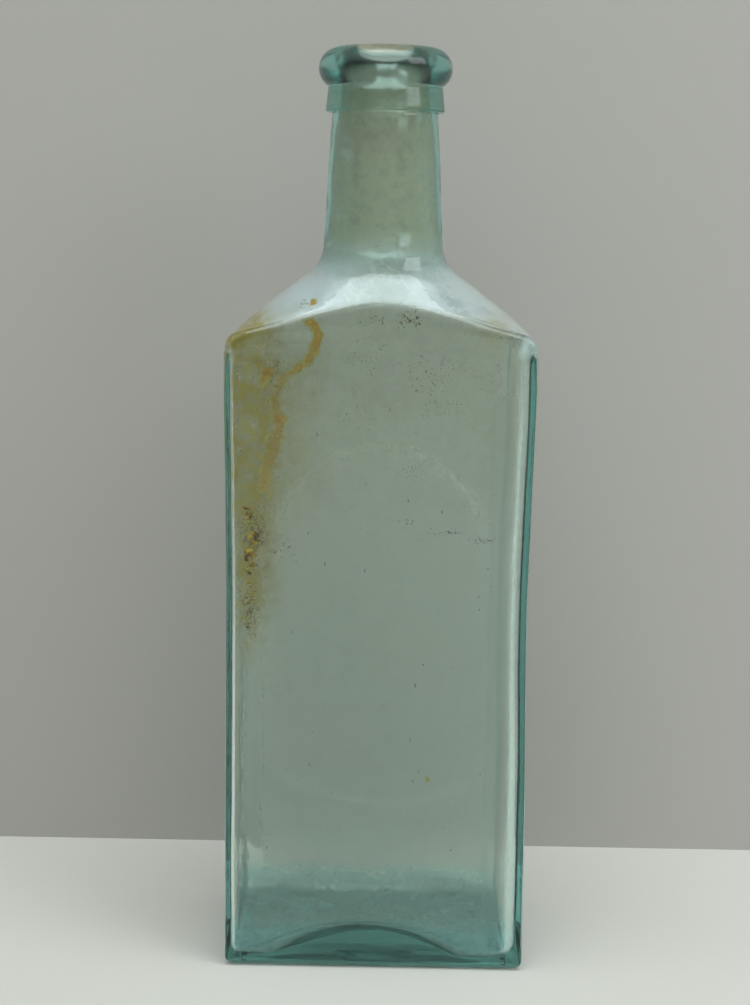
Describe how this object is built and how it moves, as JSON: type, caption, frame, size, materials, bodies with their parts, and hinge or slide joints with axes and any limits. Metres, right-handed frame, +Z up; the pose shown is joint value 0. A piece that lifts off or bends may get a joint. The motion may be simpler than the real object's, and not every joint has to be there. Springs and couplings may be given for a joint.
{
  "type": "medicine bottle",
  "caption": "Rectangular pale aqua glass medicine bottle with rounded corners, sloping shoulders, tapered neck, applied ring lip and open mouth for a cork.",
  "frame": {"origin": "middle of the base, on the surface that the bottle stands on", "axes": "+Z up along the neck, X across the wide face, front face towards -Y"},
  "size_m": [0.075, 0.043, 0.2275],
  "materials": {
    "aqua_glass": "polished",
    "dried_residue": "matte"
  },
  "bodies": {
    "root": {"glass_body": "aqua_glass", "applied_lip": "aqua_glass", "dried_residue": "dried_residue"}
  },
  "joints": []
}
